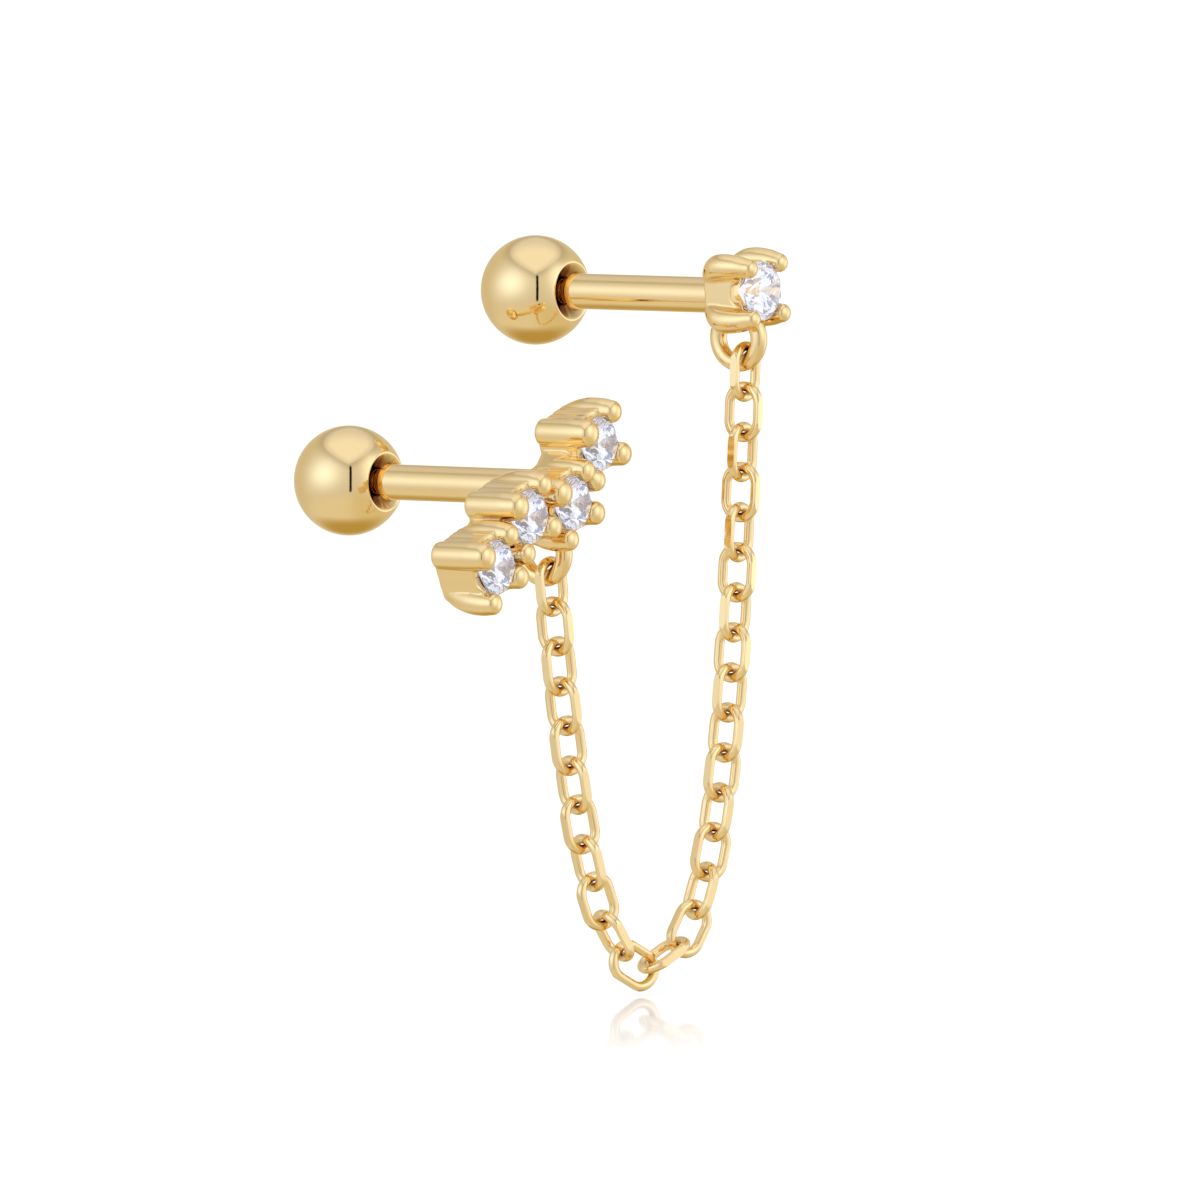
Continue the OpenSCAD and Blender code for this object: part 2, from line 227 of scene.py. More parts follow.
class Shader:
    # the nodes of a material, or of the world that owns them
    def __init__(self, name, owner=None):
        self.holder = owner or bpy.data.materials.new(name)
        self.holder.use_nodes = True
        self.tree = self.holder.node_tree
        self.tree.nodes.clear()

    def node(self, kind, settings=None, inputs=None, output=0):
        made = self.tree.nodes.new(kind)
        for key, value in (settings or {}).items():
            setattr(made, key, value)
        for key, value in (inputs or {}).items():
            if isinstance(value, Value):
                self.tree.links.new(value.socket, made.inputs[key])
            else:
                made.inputs[key].default_value = value
        self.last = made
        return Value(self.tree, made.outputs[output]) if len(made.outputs) else None

    def place(self, scale=1.0):
        at = self.node("ShaderNodeTexCoord", output="Object")
        return self.node("ShaderNodeVectorMath", {"operation": "SCALE"}, {0: at, "Scale": scale})

    def noise(self, at, scale, detail, roughness=0.55):
        return self.node("ShaderNodeTexNoise", None,
                         {"Vector": at, "Scale": scale, "Detail": detail, "Roughness": roughness})

    def split(self, vector):
        # its x, y and z
        self.node("ShaderNodeSeparateXYZ", None, {0: vector})
        return [Value(self.tree, part) for part in self.last.outputs]

    def along(self, vector, way):
        # how far a vector goes along a way, as their dot product
        return self.node("ShaderNodeVectorMath", {"operation": "DOT_PRODUCT"},
                         {0: vector, 1: tuple(way)}, output="Value")

    def mixed(self, share, a, b):
        # colour a at 0 and b at 1
        return self.node("ShaderNodeMix", {"data_type": "RGBA"},
                         {"Factor": share, "A": (*a, 1) if isinstance(a, tuple) else a,
                          "B": (*b, 1) if isinstance(b, tuple) else b}, output=2)

    def finish(self, shader):
        self.node("ShaderNodeOutputMaterial", None, {"Surface": shader})
        return self.holder


def eased(s, value, low, high):
    # 0 at low and 1 at high with a smooth way between
    return s.node("ShaderNodeMapRange", {"interpolation_type": "SMOOTHSTEP"},
                  {"Value": value, "From Min": low, "From Max": high})


goldLook = {
    "bright": (0.97, 0.76, 0.415),
    "deep": (0.935, 0.70, 0.35),
    "recess": (0.34, 0.16, 0.055),     # painted shade in the mouth of a ball and in crevices
    "creviceSize": 0.00025,
    "creviceSoft": (0.1, 0.7),
    "creviceShare": 0.85,
    "cloudScale": 0.35,
    "speckScale": 2.4,
    "lineScale": 6.0,
    "lineStretch": (3.0, 0.5, 3.0),    # the lines run along the posts
    "speckSpread": 0.04,               # how far the roughness varies with the specks and the lines
    "lineSpread": 0.04,
    "rippleDepth": 0.00004,
    "mouthEdge": (0.12, 0.02),         # the shade in a mouth grows between these ways in from its edge
    "mouthFront": (-1.75, -1.35),      # and between these places along the post, from the ball's middle
    "mouthEnd": (1.2, 1.4),
}
castLook = dict(goldLook, bright=(0.965, 0.745, 0.39), deep=(0.93, 0.685, 0.33))


def mouthShade(s, at, look, middle, radius):
    # 1 in the mouth and the bore of a ball, where shade is painted, 0 on its outside
    x, y, z = s.split(at)
    out = ((x - middle[0]) ** 2 + (z - middle[2]) ** 2) ** 0.5
    within = 1 - eased(s, out, radius - look["mouthEdge"][0], radius - look["mouthEdge"][1])
    front, end = (eased(s, y, *(middle[1] + step for step in look[key]))
                  for key in ("mouthFront", "mouthEnd"))
    return within * front * (1 - end)


def goldMaterial(name, look, roughness, ripple, mouth=None):
    # polished plate: a slow change of tone, cloudy polish, fine lines from the buffing wheel, and
    # painted shade in crevices and in a ball's mouth. A mouth is the middle of a ball and the radius of its
    # mouth
    s = Shader(name)
    at = s.place(1 / millimetre)
    clouds = s.noise(at, look["cloudScale"], 2.0)
    specks = s.noise(at, look["speckScale"], 4.0)
    stretched = s.node("ShaderNodeVectorMath", {"operation": "MULTIPLY"}, {0: at, 1: look["lineStretch"]})
    lines = s.noise(stretched, look["lineScale"], 5.0, 0.7)
    tone = s.mixed(clouds * 0.7 + specks * 0.3, look["deep"], look["bright"])
    # painted shade: the colour darkens towards the shade colour where ambient occlusion finds crevices
    openness = s.node("ShaderNodeAmbientOcclusion", {"samples": 4},
                      {"Distance": look["creviceSize"]}, output="AO")
    creviceShade = (1 - eased(s, openness, *look["creviceSoft"])) * look["creviceShare"]
    tone = s.mixed(creviceShade, tone, look["recess"])
    # painted shade in the mouth and the bore of a ball
    if mouth:
        tone = s.mixed(mouthShade(s, at, look, *mouth), tone, look["recess"])
    rough = roughness + (specks - 0.5) * look["speckSpread"] + (lines - 0.5) * look["lineSpread"]
    bump = s.node("ShaderNodeBump", None, {
        "Strength": ripple, "Distance": look["rippleDepth"], "Height": clouds * 0.6 + lines * 0.4})
    return s.finish(s.node("ShaderNodeBsdfPrincipled", None, {
        "Base Color": tone, "Metallic": 1.0, "Roughness": rough, "Normal": bump}))


castGold = goldMaterial("castGold", castLook, 0.05, 0.08)
cutGold = goldMaterial("cutGold", goldLook, 0.04, 0.05)

stoneLook = {
    "clear": (0.99, 0.99, 1.0),        # painted light and dark facets: the tint of the light ones and of the dark ones
    "lilac": (0.46, 0.47, 0.56),
    "lit": (1.0, 1.0, 1.04),           # painted glow from the light and the dark facets
    "dim": (0.09, 0.09, 0.12),
    "index": 2.15,
    # painted glow: a faint cold light that every facet gives off
    "glow": (0.05, 0.055, 0.075),
    "belt": 1.0,                       # depth of the belt of painted glow behind the girdle
    "beltStart": (0.02, 0.1),
    "beltEnd": (0.15, 0.0),
    "leak": 0.8,                       # share of painted glow on the outside of the belt
    "facetWay": (5.1, 3.7, 7.9),       # sets each facet's share from its normal
    "facetSoft": (0.1, 0.5),
}


def stoneMaterial(name):
    # a clear cut stone: refraction with a cold tint that changes from facet to facet as painted light and
    # dark facets, a faint painted glow, and a painted glow from a belt behind the girdle, stronger from one
    # facet than from the next
    s = Shader(name + "Stone")
    y = s.split(s.place(1 / millimetre))[1]
    girdle = backOfSettings[name] - girdleDepth
    end = girdle + stoneLook["belt"]
    grows = eased(s, y, *(girdle + step for step in stoneLook["beltStart"]))
    belt = grows * (1 - eased(s, y, *(end - step for step in stoneLook["beltEnd"])))
    flat = s.node("ShaderNodeNewGeometry", output="True Normal")
    outside = 1 - Value(s.tree, s.last.outputs["Backfacing"])
    # which facets are painted light and which dark, from each facet's normal
    facet = s.along(flat, stoneLook["facetWay"])
    share = eased(s, facet.worked("FRACT", facet), *stoneLook["facetSoft"])
    # refraction tinted to paint light and dark facets, with a faint painted glow
    cut = s.node("ShaderNodeBsdfPrincipled", None, {
        "Base Color": s.mixed(share, stoneLook["lilac"], stoneLook["clear"]), "Roughness": 0.0,
        "IOR": stoneLook["index"], "Transmission Weight": 1.0,
        "Emission Color": (*stoneLook["glow"], 1), "Emission Strength": 1.0})
    # painted glow from the belt behind the girdle, brighter from the light facets than from the dark
    leak = s.node("ShaderNodeBsdfPrincipled", None, {
        "Base Color": (0.0, 0.0, 0.0, 1), "Roughness": 1.0, "Specular IOR Level": 0.0,
        "Emission Color": s.mixed(share, stoneLook["dim"], stoneLook["lit"]), "Emission Strength": 1.0})
    shown = belt * outside * stoneLook["leak"]
    return s.finish(s.node("ShaderNodeMixShader", None, {0: shown, 1: cut, 2: leak}))


stoneGlass = {name: stoneMaterial(name) for name in posts}
print("materials made")

# Balls

ball = {
    "radius": 2.0,
    "mouthRadius": 1.05,
    "mouthDepth": 0.5,
    "mouthRound": 0.06,      # radius of the rounded edge of the mouth
    "lip": (0.05, 0.04),     # how far in and along the rounded edge ends
    "boreRadius": 0.47,
    "boreFlare": 0.03,
    "boreDepth": 2.5,
    "steps": 128,
    "profileSteps": 72,
    "polish": 0.05,
    "ripple": 0.03,
}


def ballMiddle(name):
    low, high = boxOf(name + "_ball")
    return np.array([posts[name][0], high[1] - ball["radius"], posts[name][2]])


def ballShell(name):
    # the ball's outline turned about its post: sphere, rounded lip, countersink and blind bore
    radius, mouth, inner = ball["radius"], ball["mouthRadius"], ball["boreRadius"]
    mouthAngle = math.degrees(math.asin(mouth / radius))
    lipAngle = math.degrees(ball["mouthRound"] / radius)
    mouthY = -math.sqrt(radius ** 2 - mouth ** 2)
    throat, bottom = mouthY + ball["mouthDepth"], mouthY + ball["boreDepth"]
    outside = arc((0, 0), radius, 89.9, -90 + mouthAngle + lipAngle, ball["profileSteps"])
    lipEnd = np.array([mouth - ball["lip"][0], mouthY + ball["lip"][1]])
    corner = np.array([mouth, mouthY])
    t = np.linspace(0, 1, 8)[:, None]
    rounded = (1 - t) ** 2 * outside[-1] + 2 * t * (1 - t) * corner + t * t * lipEnd
    cone = lipEnd + (np.array([inner + ball["boreFlare"], throat]) - lipEnd) * t[1:]
    bore = np.array([[inner, throat + 0.05], [inner, bottom], [axisRadius, bottom + 0.02]])
    profile = np.concatenate([outside, rounded[1:], cone, bore])
    return Shell().add(turned(profile, ball["steps"], ballMiddle(name)), flip=True)


for name in ("upper", "lower"):
    mouth = (ballMiddle(name), ball["mouthRadius"])
    ballGold = goldMaterial(name + "BallGold", goldLook, ball["polish"], ball["ripple"], mouth)
    data = ballShell(name).mesh(name + "Ball")
    placed(data, name + "Ball", name + "_ball", ballGold, 35, [name + "_ball"])
print("balls made")

# Chain links

link = {
    "long": 2.195,
    "wide": 1.48,
    "wire": 0.36,
    "flatCut": 0.07,
    "bendSteps": 28,
    "leastCrease": 14.0,     # half the turn of the wire's section that a flat takes where it is least
    "flatColumns": 4,        # columns across half of a cut flat
    "roundColumns": 22,
}


def linkFrame(node):
    # middle and axes of a link, longest first, from the area of its solid's triangles
    data = frame["nodes"][node].data
    data.calc_loop_triangles()
    points = np.empty(len(data.vertices) * 3, np.float32)
    data.vertices.foreach_get("co", points)
    corners = np.empty(len(data.loop_triangles) * 3, np.int32)
    data.loop_triangles.foreach_get("vertices", corners)
    tri = points.reshape(-1, 3)[corners.reshape(-1, 3)].astype(float) / millimetre
    area = np.linalg.norm(np.cross(tri[:, 1] - tri[:, 0], tri[:, 2] - tri[:, 0]), axis=1)
    middles = tri.mean(1)
    middle = (middles * area[:, None]).sum(0) / area.sum()
    spread = ((middles - middle) * area[:, None]).T @ (middles - middle)
    axes = np.linalg.eigh(spread)[1][:, ::-1].T
    if np.linalg.det(axes) < 0:
        axes[2] = -axes[2]
    return middle, axes


def linkGrid():
    # a round wire carried along a long oval and cut flat on both long sides:
    # the point is path + radius * (cos v * outward + sin v * up), with its width held to the flats
    radius = link["wire"] / 2
    bend = link["wide"] / 2 + link["flatCut"] - radius
    straight = link["long"] - link["wire"] - 2 * bend
    a = np.linspace(-90, 90, link["bendSteps"] + 1)
    turn = np.radians(np.concatenate([a, a + 180]))
    side = np.concatenate([np.ones(len(a)), -np.ones(len(a))]) * straight / 2
    outward = np.stack([np.cos(turn), np.sin(turn)], -1)
    path = outward * bend + np.stack([side, 0 * side], -1)
    limit = (link["wide"] / 2 / np.maximum(np.abs(np.sin(turn)), 1e-6) - bend) / radius
    crease = np.maximum(np.arccos(np.clip(limit, -1, 1)), math.radians(link["leastCrease"]))[:, None]
    flat = np.linspace(-1, 1, 2 * link["flatColumns"] + 1)[None, :]
    rest = np.linspace(0, 1, link["roundColumns"] + 1)[None, 1:-1]
    v = np.concatenate([crease * flat, crease + (2 * np.pi - 2 * crease) * rest], 1)
    x = path[:, 0:1] + radius * np.cos(v) * outward[:, 0:1]
    y = path[:, 1:2] + radius * np.cos(v) * outward[:, 1:2]
    z = radius * np.sin(v)
    return np.stack([x, np.clip(y, -link["wide"] / 2, link["wide"] / 2), z], -1)


oval = linkGrid()
linkNodes = sorted(n for n in frame["nodes"] if n.startswith("link_"))
for node in linkNodes:
    middle, axes = linkFrame(node)
    shell = Shell().ring((oval @ axes) + middle)
    name = node.replace("link_", "chainLink")
    placed(shell.mesh(name), name, "studs_and_chain", cutGold, 24, [node])
print("links made:", len(linkNodes))

# Cast settings with their posts and rings

setting = {
    "prongDepth": 2.07,
    "prongWide": 0.92,
    "prongRows": 26,
    "prongColumns": 32,
    "tipRows": 12,
    "tipShare": 0.72,        # how far a tip stands up, as a share of its radius
    "cupColumns": 160,
    "dipShare": 0.26,        # half the width of the dip in a wall's rim, as a share of the stone
    "seat": 0.07,            # the cone starts this far below the girdle
    "seatGap": 0.03,
    "pavilionShare": 0.5,    # depth of the cone as a share of the stone
    "grooves": 4,            # fine lines of the casting along the walls between the prongs
    "upper": {"stone": 2.15, "box": 2.0, "wall": 1.2, "turn": 4.0, "rise": 0.2, "square": 5.0,
              "grooveDeep": 0.0, "hollow": 0.75, "bowl": 0.72, "voxel": 0.04},
    "lower": {"stone": 1.95, "box": 2.3, "wall": 1.65, "turn": 22.0, "rise": 0.0, "square": 4.5,
              "grooveDeep": 0.03, "hollow": 0.0, "bowl": 0.8, "voxel": 0.045},
}

# share of depth, place out as a share of the tip's, width as a share of the prong's
upperProng = np.array([
    [0.0, 0.77, 0.74],
    [0.12, 0.91, 0.93],
    [0.3, 1.03, 1.04],
    [0.5, 1.07, 1.02],
    [0.75, 1.06, 0.92],
    [1.0, 1.0, 0.74],
])
straightProng = np.array([
    [0.0, 1.0, 0.88],
    [0.06, 1.0, 0.97],
    [0.7, 1.0, 1.0],
    [1.0, 1.0, 0.94],
])
bowedProng = np.array([
    [0.0, 0.82, 0.78],
    [0.1, 0.88, 0.90],
    [0.3, 0.97, 0.99],
    [0.55, 1.02, 1.03],
    [0.8, 1.02, 1.0],
    [1.0, 1.0, 0.90],
])
flaredProng = np.array([
    [0.0, 0.70, 0.74],
    [0.1, 0.77, 0.88],
    [0.3, 0.87, 1.0],
    [0.55, 0.95, 1.05],
    [0.8, 0.99, 1.0],
    [1.0, 1.0, 0.88],
])
# turn about the stone, place out as a share of the stone's radius, thickness as a share of the
# prong's, sections
upperTips = [(turn, 1.2, 1.0, upperProng) for turn in (45, 135, 225, 315)]
lowerTips = [(45, 1.25, 1.0, bowedProng), (135, 1.12, 1.15, straightProng),
             (225, 1.42, 1.0, flaredProng), (315, 1.12, 1.0, straightProng)]


def toFront(grid, middle, name):
    # turns a shape built along +z, with across and up as x and y, to face the front of its stud
    x, y, z = grid[..., 0], grid[..., 1], grid[..., 2]
    across, upward = posts[name][0] + middle[0] + x, posts[name][2] + middle[1] + y
    return np.stack([across, backOfSettings[name] - z, upward], -1)


def prongGrid(sections, turn, tipOut, thick):
    # round sections up a smooth centre line, ending in a round tip
    depth, wide = setting["prongDepth"], setting["prongWide"] * thick
    t = np.linspace(0, 1, setting["prongRows"])
    out = smoothThrough(sections[:, 0], sections[:, 1], t) * tipOut
    r = smoothThrough(sections[:, 0], sections[:, 2], t) * wide / 2
    tip = np.radians(np.linspace(0, 88, setting["tipRows"]))[1:]
    out = np.concatenate([out, np.full(len(tip), out[-1])])
    z = np.concatenate([t * depth, depth + setting["tipShare"] * r[-1] * np.sin(tip)])
    r = np.concatenate([r, r[-1] * np.cos(tip)])
    a = np.linspace(0, 2 * np.pi, setting["prongColumns"], endpoint=False)
    x = out[:, None] + r[:, None] * np.cos(a)
    y = r[:, None] * np.sin(a)
    c, s = math.cos(math.radians(turn)), math.sin(math.radians(turn))
    return np.stack([x * c - y * s, x * s + y * c, z[:, None] + 0 * a], -1)


def cupGrid(size, turn):
    # a rounded square wall whose rim dips between the prongs, with a cone inside for the stone:
    # radius = box / 2 / (|cos a|^n + |sin a|^n)^(1/n), less fine grooves
    a = np.linspace(0, 2 * np.pi, setting["cupColumns"], endpoint=False)
    n = size["square"]
    square = size["box"] / 2 / (np.abs(np.cos(a)) ** n + np.abs(np.sin(a)) ** n) ** (1 / n)
    square = square - size["grooveDeep"] * (0.5 + 0.5 * np.cos(4 * setting["grooves"] * a)) ** 6
    along = np.minimum(np.abs(np.tan(a)), np.abs(1 / np.tan(a + 1e-9))) * size["box"] / 2
    dip = np.exp(-(along / (setting["dipShare"] * size["stone"])) ** 4)
    rim = girdleDepth - (girdleDepth - size["wall"]) * dip
    below = np.maximum(girdleDepth - setting["seat"] - rim, 0)
    cone = size["stone"] / 2 * (1 - below / (setting["pavilionShare"] * size["stone"])) + setting["seatGap"]
    hold = np.maximum(cone, size["hollow"])
    floorWide = np.maximum(hold * 0.2, size["hollow"] * 0.95)
    rows = [(0.985, 0.0), (1.0, 0.02), (1.0, 0.5), (1.0, 0.95), (0.985, 1.0)]
    outer = [np.stack([square * k, rim * h], -1) for k, h in rows]
    inner = [np.stack([hold + 0.02, rim], -1), np.stack([hold, rim - 0.04], -1),
             np.stack([floorWide, rim * 0 + size["bowl"]], -1),
             np.stack([hold * 0.1, rim * 0 + size["bowl"] - 0.05], -1)]
    table = np.stack(outer + inner)
    b = a + math.radians(turn)
    return np.stack([table[..., 0] * np.cos(b), table[..., 0] * np.sin(b), table[..., 1]], -1)


tie = {"wide": 1.56, "deep": 1.4, "inset": 0.42, "square": 6, "rows": 12, "columns": 48}


def tieGrid(start, end):
    # a bar with a rounded square section between two cups, lying on the back plane
    a, n = np.linspace(0, 2 * np.pi, tie["columns"], endpoint=False), tie["square"]
    reach = 1 / (np.abs(np.cos(a)) ** n + np.abs(np.sin(a)) ** n) ** (1 / n)
    across, up = reach * np.cos(a) * tie["wide"] / 2, tie["deep"] / 2 + reach * np.sin(a) * tie["deep"] / 2
    way = (end - start) / np.linalg.norm(end - start)
    side = np.array([-way[1], way[0]])
    t = np.linspace(0, 1, tie["rows"])[:, None]
    x = start[0] + (end - start)[0] * t + side[0] * across
    y = start[1] + (end - start)[1] * t + side[1] * across
    return np.stack([x, y, 0 * t + up], -1)


melt = {"softShare": 0.5, "softRounds": 6}


def fused(shell, name, voxel):
    # melts closed shells into one skin, then softens the steps that the melting leaves
    data = shell.mesh(name + "Raw", 1.0)
    raw = bpy.data.objects.new(name + "Raw", data)
    scene.collection.objects.link(raw)
    step = raw.modifiers.new("melt", "REMESH")
    step.mode = "VOXEL"
    step.voxel_size = voxel
    soft = raw.modifiers.new("soften", "SMOOTH")
    soft.factor = melt["softShare"]
    soft.iterations = melt["softRounds"]
    graph = bpy.context.evaluated_depsgraph_get()
    made = raw.evaluated_get(graph).to_mesh()
    points = np.empty(len(made.vertices) * 3, np.float32)
    made.vertices.foreach_get("co", points)
    faces = [list(p.vertices) for p in made.polygons]
    raw.evaluated_get(graph).to_mesh_clear()
    bpy.data.objects.remove(raw)
    print(name, "fused:", len(faces), "faces")
    return points.reshape(-1, 3).astype(float), faces


ring = {
    "wire": 0.62,
    "across": 1.8,           # from the middle of its wire to the middle on the other side
    "front": 0.78,           # its middle's place in front of the back plane
    "upperPlace": (0.0, -1.53),
    "lowerPlace": (-0.39, -1.8),       # from the middle of the second stone
    "steps": 96,
    "columns": 40,
}


def ringGrid(name, middle):
    # a round wire bent round a circle that stands in the plane of the post
    u = np.linspace(0, 2 * np.pi, ring["steps"], endpoint=False)[:, None]
    v = np.linspace(0, 2 * np.pi, ring["columns"], endpoint=False)[None, :]
    out = ring["across"] / 2 + ring["wire"] / 2 * np.cos(v)
    x = posts[name][0] + middle[0] + ring["wire"] / 2 * np.sin(v) + 0 * u
    y = backOfSettings[name] - ring["front"] + out * np.cos(u)
    z = posts[name][2] + middle[1] + out * np.sin(u)
    return np.stack([x, y, z], -1)


post = {
    "root": 0.45,            # length held in the setting
    "edge": 0.05,            # chamfer of its shoulder
    "screwRadius": 0.45,
    "screwLength": 2.5,
    "screwEdge": 0.08,
    "pitch": 0.3,
    "threadDeep": 0.03,
    "columns": 96,
}


def postGrid(name):
    # the bar with a small chamfer at its shoulder, and the thinner screwed end, whose radius is
    # screwRadius - threadDeep * (1 + cos(2 pi y / pitch)) / 2
    wall, edge, screw = postWall, post["edge"], post["screwRadius"]
    end = wall + post["screwLength"]
    thread = np.linspace(wall + 0.1, end - 0.1, 60)
    ripple = screw - post["threadDeep"] * (0.5 + 0.5 * np.cos(2 * np.pi * thread / post["pitch"]))
    profile = np.concatenate([
        [[axisRadius, -post["root"]], [postRadius, -post["root"]], [postRadius, 0.02]],
        np.stack([np.full(12, postRadius), np.linspace(0.1, wall - edge - 0.02, 12)], -1),
        [[postRadius, wall - edge], [postRadius - edge, wall], [screw, wall + 0.02]],
        np.stack([ripple, thread], -1),
        [[screw - post["screwEdge"], end], [axisRadius, end]]])
    middle = np.array([posts[name][0], backOfSettings[name], posts[name][2]])
    return turned(profile, post["columns"], middle)


zigzag = {
    "headings": (231.0, 187.0, 219.5),     # ways from each stone to the next, in degrees
    "step": 2.6,
    "postOff": (0.05, 0.26),               # from the second stone to the post, as shares of a stone
}


def lowerPlaces():
    # middles of the lower stones, across and up from the lower post
    heading = np.radians(zigzag["headings"])
    steps = zigzag["step"] * np.stack([np.cos(heading), np.sin(heading)], -1)
    places = np.concatenate([[np.zeros(2)], np.cumsum(steps, 0)])
    return places - places[1] - np.array(zigzag["postOff"]) * setting["lower"]["stone"]


def castPiece(name, middles, tips, ringMiddle):
    # cups, prongs and ties melted into one skin, with the ring and the post soldered to it
    size = setting[name]
    shell = Shell()
    for middle in middles:
        shell.add(toFront(cupGrid(size, size["turn"]), middle, name))
        for turn, out, thick, sections in tips:
            prong = prongGrid(sections, turn + size["turn"], out * size["stone"] / 2, thick)
            shell.add(toFront(prong, middle, name), flip=True)
    for k in range(len(middles) - 1):
        way = middles[k + 1] - middles[k]
        way = way / np.linalg.norm(way)
        inset = tie["inset"] * size["stone"]
        bar = tieGrid(middles[k] + way * inset, middles[k + 1] - way * inset)
        shell.add(toFront(bar, (0, 0), name), flip=True)
    points, faces = fused(shell, name, size["voxel"])
    whole = Shell().addMesh(points, faces)
    whole.ring(ringGrid(name, ringMiddle))
    whole.add(postGrid(name), flip=True)
    data = whole.mesh(name + "Stud")
    placed(data, name + "Stud", "studs_and_chain", castGold, 50, [name + "_stud"])


upperMiddles = np.array([[0.0, setting["upper"]["rise"]]])
lowerMiddles = lowerPlaces()
castPiece("upper", upperMiddles, upperTips, np.array(ring["upperPlace"]))
castPiece("lower", lowerMiddles, lowerTips, lowerMiddles[1] + np.array(ring["lowerPlace"]))
print("studs made")

# Stones keep their solids' facets

for node in sorted(n for n in frame["nodes"] if "stone" in n):
    source = frame["nodes"][node].data
    source.materials.clear()
    source.materials.append(stoneGlass[node.split("_")[0]])
print("stones dressed")

# Floor, camera and light

stageLook = {
    "floorDrop": 0.12,
    "floorSide": 900.0,
    "matt": ((0.38, 0.38, 0.38), (0.42, 0.42, 0.42)),
    "glow": (0.6, 0.6, 0.6),
    "gloss": (0.95, 0.95, 0.95),
    "glossShare": 0.42,      # under the chain
    "fade": (2.0, 30.0),     # the gloss fades between these ways off the lowest link
}


def paleFloor(spot):
    # matt white that glows a little, with gloss round the spot under the lowest link
    s = Shader("paleFloor")
    at = s.place(1 / millimetre)
    soft = s.noise(at, 0.02, 2.0)
    matt = s.node("ShaderNodeBsdfPrincipled", None, {
        "Base Color": s.mixed(soft, *stageLook["matt"]), "Roughness": 1.0, "Specular IOR Level": 0.0,
        "Emission Color": (*stageLook["glow"], 1), "Emission Strength": 1.0})
    gloss = s.node("ShaderNodeBsdfGlossy", None, {
        "Color": (*stageLook["gloss"], 1), "Roughness": 0.05 + soft * 0.02})
    away = s.node("ShaderNodeVectorMath", {"operation": "DISTANCE"}, {0: at, 1: tuple(spot)}, output="Value")
    share = (1 - eased(s, away, *stageLook["fade"])) * stageLook["glossShare"]
    return s.finish(s.node("ShaderNodeMixShader", None, {0: share, 1: matt, 2: gloss}))


def floorPiece():
    lowestLink = min(linkNodes, key=lambda node: boxOf(node)[0][2])
    side, z = stageLook["floorSide"], cadBox[0][2] / millimetre - stageLook["floorDrop"]
    data = bpy.data.meshes.new("floor")
    corners = np.array([[-side, -side, z], [side, -side, z], [side, side, z], [-side, side, z]])
    data.from_pydata(corners * millimetre, [], [(0, 1, 2, 3)])
    data.materials.append(paleFloor(np.append(np.mean(boxOf(lowestLink), axis=0)[:2], z)))
    floor = bpy.data.objects.new("floor", data)
    scene.collection.objects.link(floor)
    floor.visible_glossy = False     # gloss sees the tent's warm light from below instead


floorPiece()

camera = {
    "azimuth": -53.0,
    "elevation": 4.4,
    "roll": 1.0,             # the photo's level leans this far
    "pixelsPerMillimetre": 27.6,
    "imageSide": 1200,
    "ballPixel": (535.5, 290.0),   # middle of the upper ball in the photo's frame
    "lens": 600.0,
    "sensor": 36.0,
    "clip": (0.01, 10.0),
}


def cameraAxes():
    # right, up and back of the camera, from its azimuth, elevation and roll
    a, e, t = (math.radians(camera[k]) for k in ("azimuth", "elevation", "roll"))
    back = np.array([math.sin(a) * math.cos(e), -math.cos(a) * math.cos(e), math.sin(e)])
    level = np.array([math.cos(a), math.sin(a), 0.0])
    upright = np.cross(back, level)
    return math.cos(t) * level - math.sin(t) * upright, math.sin(t) * level + math.cos(t) * upright, back


# The tent round the earring, laid out by turn and height in degrees from the photo's point of view
tent = {
    "white": 1.2,           # what the camera and the floor see
    "side": (0.70, 0.69, 0.68),
    "behind": (0.68, 0.63, 0.50),
    "behindFrom": (0.1, -0.7),         # the side turns into what is behind over these nearnesses
    "boxes": [
        {"turn": -54.0, "height": 13.0, "wide": 36.0, "tall": 27.0, "colour": (1.22, 1.36, 1.62)},
        {"turn": 60.0, "height": 20.0, "wide": 28.0, "tall": 30.0, "colour": (1.40, 1.44, 1.52)},
        {"turn": 108.0, "height": -2.0, "wide": 20.0, "tall": 26.0, "colour": (1.30, 1.32, 1.40)},
    ],
    "ceiling": {"height": 0.53, "rise": 0.45, "soft": (-0.02, 0.05), "colour": (0.98, 0.99, 1.02),
                "rear": (0.76, 0.75, 0.78)},
    "rim": {"grows": (-0.25, 0.0), "fades": (0.0, 0.2), "share": 0.20},      # dark edge of the ceiling
    "low": {"height": (-14.0, -46.0), "across": (-0.2, 0.4), "left": (0.79, 0.75, 0.64),
            "right": (0.72, 0.65, 0.44)},
    "deep": {"tilt": -58.0, "soft": (0.76, 0.98), "colour": (0.50, 0.36, 0.11)},
    "gap": {"turn": 4.0, "wide": (1.56, 3.64), "low": (-26.0, -22.0), "high": (32.0, 28.0)},
    "wall": {"soft": (-0.95, -0.98), "colour": (1.12, 1.12, 1.12)},          # seen in the floor's gloss
}


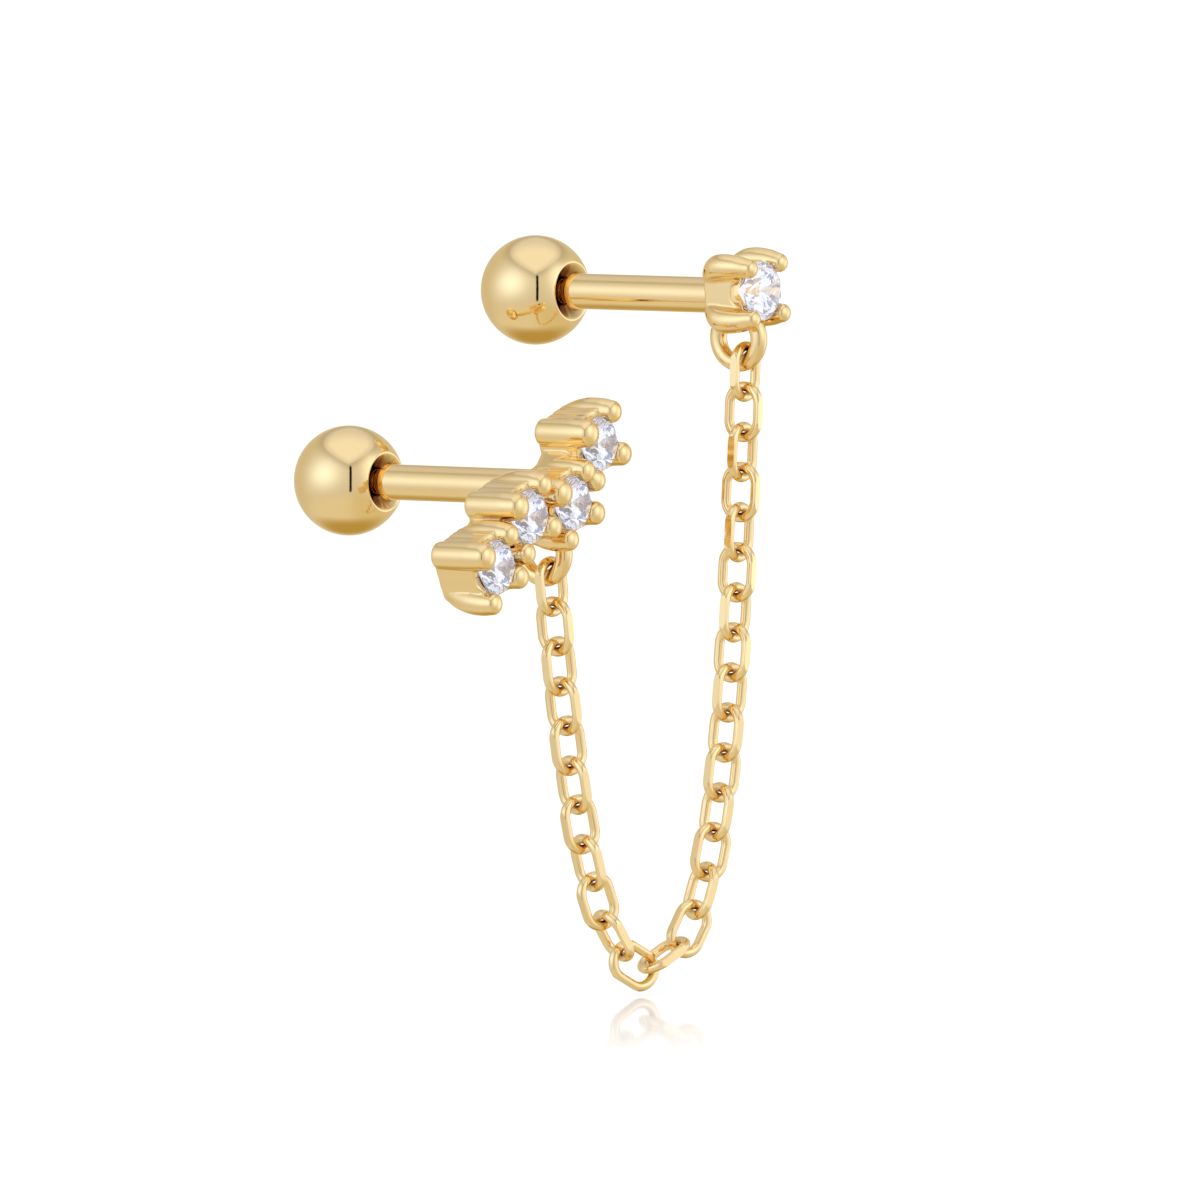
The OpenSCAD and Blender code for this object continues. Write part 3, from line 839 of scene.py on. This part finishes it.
def tentOfLight():
    # white for the camera and the floor; for gloss a tent with soft boxes at both sides of the camera,
    # a ceiling, warm light from below, one dark gap in the middle and a white wall straight behind
    world = bpy.data.worlds.new("tent")
    scene.world = world
    s = Shader("tent", world)
    black = (0.0, 0.0, 0.0)
    way = s.node("ShaderNodeTexCoord", output="Generated")
    across, up, near = (s.along(way, axis) for axis in cameraAxes())
    turn = across.worked("ARCTAN2", across, near) * math.degrees(1)
    height = up.worked("ARCSINE", up) * math.degrees(1)
    rear = eased(s, near, *tent["behindFrom"])
    light = s.mixed(rear, tent["side"], tent["behind"])
    for box in tent["boxes"]:
        spread = ((turn - box["turn"]) / box["wide"]) ** 2 + ((height - box["height"]) / box["tall"]) ** 2
        light = s.mixed(spread.worked("EXPONENT", spread * -1.0), light, box["colour"])
    ceiling, rim = tent["ceiling"], tent["rim"]
    over = up - ceiling["height"] - ceiling["rise"] * abs(across)
    top = s.mixed(rear, ceiling["colour"], ceiling["rear"])
    light = s.mixed(eased(s, over, *ceiling["soft"]), light, top)
    edge = eased(s, over, *rim["grows"]) * (1 - eased(s, over, *rim["fades"])) * rim["share"]
    light = s.mixed(edge, light, black)
    low, deep, gap, wall = (tent[key] for key in ("low", "deep", "gap", "wall"))
    warm = s.mixed(eased(s, across, *low["across"]), low["left"], low["right"])
    light = s.mixed(eased(s, height, *low["height"]), light, warm)
    tilt = math.radians(deep["tilt"])
    under = up * math.sin(tilt) - near * math.cos(tilt)
    light = s.mixed(eased(s, under, *deep["soft"]), light, deep["colour"])
    slit = 1 - eased(s, abs(turn - gap["turn"]), *gap["wide"])
    light = s.mixed(slit * eased(s, height, *gap["low"]) * eased(s, height, *gap["high"]), light, black)
    light = s.mixed(eased(s, near, *wall["soft"]), light, wall["colour"])
    glossy = s.node("ShaderNodeBackground", None, {"Color": light})
    plain = s.node("ShaderNodeBackground", None, {"Color": (1, 1, 1, 1), "Strength": tent["white"]})
    seen = s.node("ShaderNodeLightPath", output="Is Camera Ray")
    spreadLight = Value(s.tree, s.last.outputs["Is Diffuse Ray"])
    share = seen.worked("MAXIMUM", seen, spreadLight)
    whole = s.node("ShaderNodeMixShader", None, {0: share, 1: glossy, 2: plain})
    s.node("ShaderNodeOutputWorld", None, {"Surface": whole})


tentOfLight()


def addCamera():
    # stands so that the middle of the upper ball falls on its pixel and a millimetre is as wide as it is
    # in the photo
    right, up, back = cameraAxes()
    half = camera["imageSide"] / 2
    shift = (half - np.array(camera["ballPixel"])) / camera["pixelsPerMillimetre"]
    target = ballMiddle("upper") + right * shift[0] - up * shift[1]
    width = camera["imageSide"] / camera["pixelsPerMillimetre"]
    place = target + back * width * camera["lens"] / camera["sensor"]
    data = bpy.data.cameras.new("camera")
    data.lens, data.sensor_width = camera["lens"], camera["sensor"]
    data.clip_start, data.clip_end = camera["clip"]
    eye = bpy.data.objects.new("camera", data)
    scene.collection.objects.link(eye)
    matrix = np.eye(4)
    matrix[:3, 0], matrix[:3, 1], matrix[:3, 2], matrix[:3, 3] = right, up, back, place * millimetre
    eye.matrix_world = Matrix(matrix.tolist())
    scene.camera = eye


addCamera()
scene.view_settings.view_transform = "Standard"
print("floor, light and camera placed")
